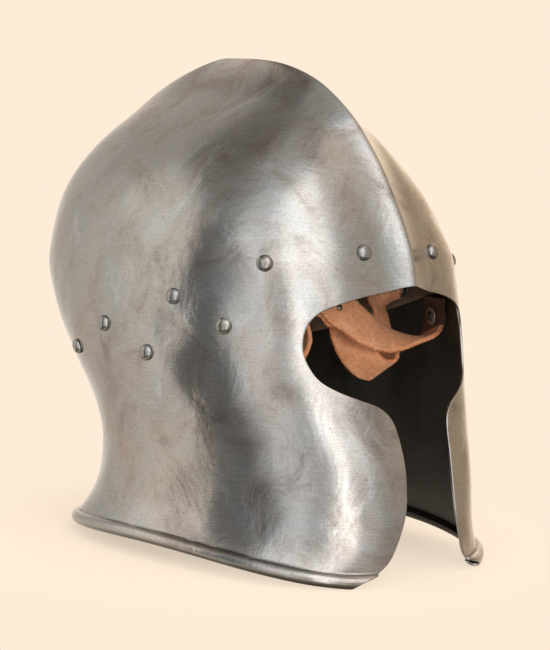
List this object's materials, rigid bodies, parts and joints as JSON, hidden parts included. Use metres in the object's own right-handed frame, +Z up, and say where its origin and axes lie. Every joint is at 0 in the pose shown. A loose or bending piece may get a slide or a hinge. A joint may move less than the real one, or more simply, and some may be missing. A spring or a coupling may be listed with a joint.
{
  "type": "barbute",
  "caption": "Steel barbute helmet: keeled one-piece skull, T-shaped face opening, rolled rim, riveted lining band, two-part suede chin strap with a hinged buckle",
  "frame": {"origin": "Under the middle of the helmet's bounding box, on the surface that its rim rests on", "axes": "+Z up; the face opening looks along -Y; the wearer's right is -X. Metres."},
  "size_m": [0.209, 0.3046, 0.2897],
  "materials": {
    "plate_steel": "satin, hammered and brushed, bright outside and blackened inside",
    "rivet_steel": "satin, darker round the foot",
    "wire_steel": "dull drawn wire",
    "buckle_steel": "satin",
    "suede": "rough suede, unfinished cut edges",
    "lining_leather": "smooth, dark, waxed"
  },
  "bodies": {
    "root": {"brow_rivet_left": "rivet_steel", "brow_rivet_right": "rivet_steel", "brow_washer_left": "rivet_steel", "brow_washer_right": "rivet_steel", "chin_strap_left": "suede", "chin_strap_right": "suede", "ear_rivet_left": "rivet_steel", "ear_rivet_right": "rivet_steel", "ear_washer_left": "rivet_steel", "ear_washer_right": "rivet_steel", "fold_rivet": "buckle_steel", "front_strap_rivet_left": "rivet_steel", "front_strap_rivet_right": "rivet_steel", "front_strap_washer_left": "rivet_steel", "front_strap_washer_right": "rivet_steel", "lining_band": "lining_leather", "nape_rivet_left": "rivet_steel", "nape_rivet_right": "rivet_steel", "nape_washer_left": "rivet_steel", "nape_washer_right": "rivet_steel", "rear_rivet_left": "rivet_steel", "rear_rivet_right": "rivet_steel", "rear_strap_rivet_left": "rivet_steel", "rear_strap_rivet_right": "rivet_steel", "rear_strap_washer_left": "rivet_steel", "rear_strap_washer_right": "rivet_steel", "rear_washer_left": "rivet_steel", "rear_washer_right": "rivet_steel", "rim_wire": "wire_steel", "skull": "plate_steel", "temple_rivet_left": "rivet_steel", "temple_rivet_right": "rivet_steel", "temple_washer_left": "rivet_steel", "temple_washer_right": "rivet_steel"},
    "frame": {"buckle_frame": "buckle_steel"},
    "prong": {"buckle_prong": "buckle_steel"}
  },
  "joints": [
    {"name": "buckle_frame_hinge", "type": "hinge", "parent": "root", "child": "frame", "pos_m": [-0.00488, -0.06516, 0.15199], "axis": [-0.5583, -0.1396, -0.8178], "range_deg": [-40, 55]},
    {"name": "buckle_prong_hinge", "type": "hinge", "parent": "frame", "child": "prong", "pos_m": [-0.00488, -0.06516, 0.15199], "axis": [0.5583, 0.1396, 0.8178], "range_deg": [0, 80]}
  ]
}
